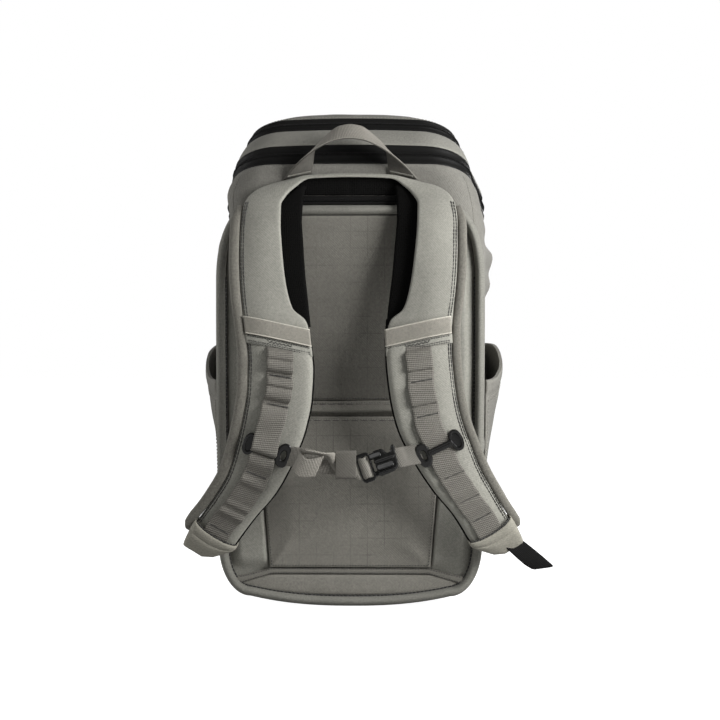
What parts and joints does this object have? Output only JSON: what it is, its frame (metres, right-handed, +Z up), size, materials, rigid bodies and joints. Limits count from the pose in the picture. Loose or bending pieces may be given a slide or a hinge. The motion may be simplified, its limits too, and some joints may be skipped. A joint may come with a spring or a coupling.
{
  "type": "tactical backpack",
  "caption": "Upright zip-lid daypack with padded harness panel, yoke and shoulder straps, ladder webbing, sternum strap, grab handle and open side pockets.",
  "frame": {"origin": "middle of the flat base, on the surface that the pack stands on", "axes": "+Z up; -Y towards the harness and the wearer's back, +Y towards the plain front; +X towards the side with the free adjuster end"},
  "size_m": [0.3655, 0.2896, 0.4961],
  "materials": {
    "pack_cloth": "smooth matte woven cloth, warm grey",
    "panel_cloth": "matte woven cloth with a faint print, warm grey",
    "webbing": "ribbed webbing, warm grey",
    "black_fabric": "black mesh, zip tape and webbing",
    "black_plastic": "moulded black nylon, satin"
  },
  "bodies": {
    "root": {"body_lower": "pack_cloth", "body_upper": "pack_cloth", "lid_hinge": "pack_cloth", "lid_wall": "pack_cloth", "top_hinge": "pack_cloth", "lid_top": "pack_cloth", "back_rim": "pack_cloth", "shoulder_yoke": "pack_cloth", "strap_left": "pack_cloth", "strap_right": "pack_cloth", "end_cap_left": "pack_cloth", "end_cap_right": "pack_cloth", "side_pocket_left": "pack_cloth", "side_pocket_right": "pack_cloth", "back_panel": "panel_cloth", "back_pad_upper": "panel_cloth", "back_pad_lower": "panel_cloth", "pass_through_hem": "panel_cloth", "seam_tape": "panel_cloth", "lumbar_pad": "panel_cloth", "binding_left": "webbing", "binding_right": "webbing", "cross_band_left": "webbing", "cross_band_right": "webbing", "ladder_left": "webbing", "ladder_right": "webbing", "grab_handle": "webbing", "sternum_web_left": "webbing", "sternum_slack": "webbing", "sternum_web_right": "webbing", "sternum_keeper": "webbing", "zip_main": "black_fabric", "zip_lid": "black_fabric", "rear_zip": "black_fabric", "collar_panel": "black_fabric", "lining_left": "black_fabric", "lining_right": "black_fabric", "anchor_web_left": "black_fabric", "anchor_web_right": "black_fabric", "adjuster_tail": "black_fabric", "slider_left": "black_plastic", "slider_right": "black_plastic", "buckle_frame": "black_plastic", "buckle_body": "black_plastic"}
  },
  "joints": []
}
